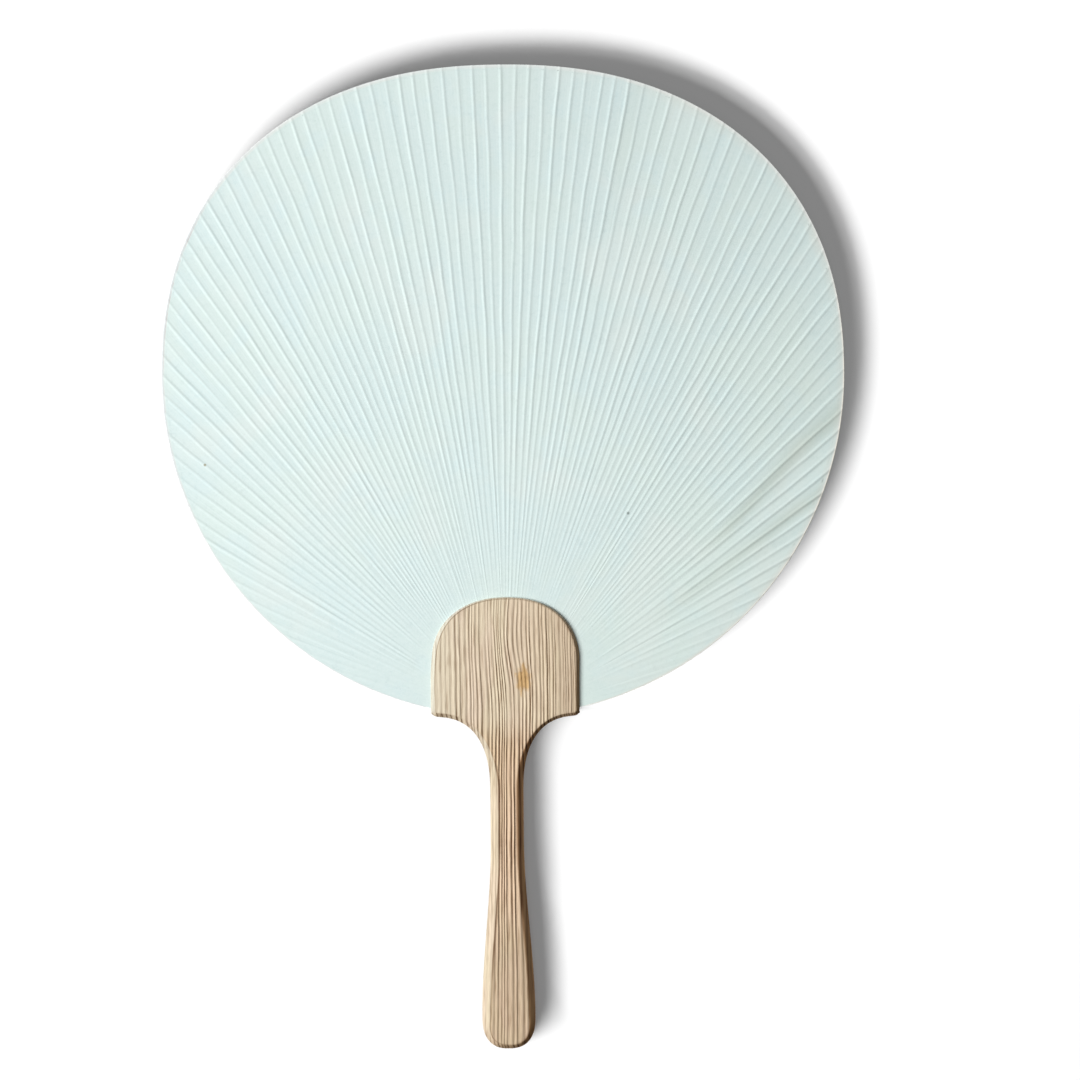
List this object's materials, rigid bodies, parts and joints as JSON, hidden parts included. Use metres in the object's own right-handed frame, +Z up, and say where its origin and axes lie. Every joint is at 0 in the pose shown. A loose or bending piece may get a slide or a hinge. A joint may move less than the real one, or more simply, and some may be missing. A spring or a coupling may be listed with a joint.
{
  "type": "round hand fan",
  "caption": "Round hand fan: pale paper pasted over fine radial bamboo ribs, with a narrow rim strip, its root gripped in the slotted head of a one-piece wooden handle.",
  "frame": {"origin": "under the middle of the fan as it lies on its back, on the plane that the back of the handle rests on", "axes": "+Z up, out of the front paper; +Y along the handle, from the end of the grip to the top of the leaf; +X across the leaf, to the right seen from the front"},
  "size_m": [0.2532, 0.365, 0.005],
  "materials": {
    "cedar": "matte",
    "front_washi": "matte",
    "back_washi": "matte",
    "rim_paper": "matte",
    "card": "matte",
    "bamboo": "satin"
  },
  "bodies": {
    "root": {"handle": "cedar", "front_paper": "front_washi", "back_paper": "back_washi", "rim_binding": "rim_paper", "root_card": "card", "rib_centre": "bamboo", "rib_pair_01": "bamboo", "rib_pair_02": "bamboo", "rib_pair_03": "bamboo", "rib_pair_04": "bamboo", "rib_pair_05": "bamboo", "rib_pair_06": "bamboo", "rib_pair_07": "bamboo", "rib_pair_08": "bamboo", "rib_pair_09": "bamboo", "rib_pair_10": "bamboo", "rib_pair_11": "bamboo", "rib_pair_12": "bamboo", "rib_pair_13": "bamboo", "rib_pair_14": "bamboo", "rib_pair_15": "bamboo", "rib_pair_16": "bamboo", "rib_pair_17": "bamboo", "rib_pair_18": "bamboo", "rib_pair_19": "bamboo", "rib_pair_20": "bamboo", "rib_pair_21": "bamboo", "rib_pair_22": "bamboo", "rib_pair_23": "bamboo", "rib_pair_24": "bamboo", "rib_pair_25": "bamboo", "rib_pair_26": "bamboo", "rib_pair_27": "bamboo", "rib_pair_28": "bamboo", "rib_pair_29": "bamboo", "rib_pair_30": "bamboo", "rib_pair_31": "bamboo", "rib_pair_32": "bamboo", "rib_pair_33": "bamboo", "rib_pair_34": "bamboo", "rib_pair_35": "bamboo", "rib_pair_36": "bamboo", "rib_pair_37": "bamboo", "rib_pair_38": "bamboo", "rib_pair_39": "bamboo", "rib_pair_40": "bamboo", "rib_pair_41": "bamboo", "rib_pair_42": "bamboo", "rib_pair_43": "bamboo", "rib_pair_44": "bamboo", "rib_pair_45": "bamboo", "rib_pair_46": "bamboo", "rib_pair_47": "bamboo", "rib_pair_48": "bamboo", "rib_pair_49": "bamboo", "rib_pair_50": "bamboo", "rib_pair_51": "bamboo"}
  },
  "joints": []
}
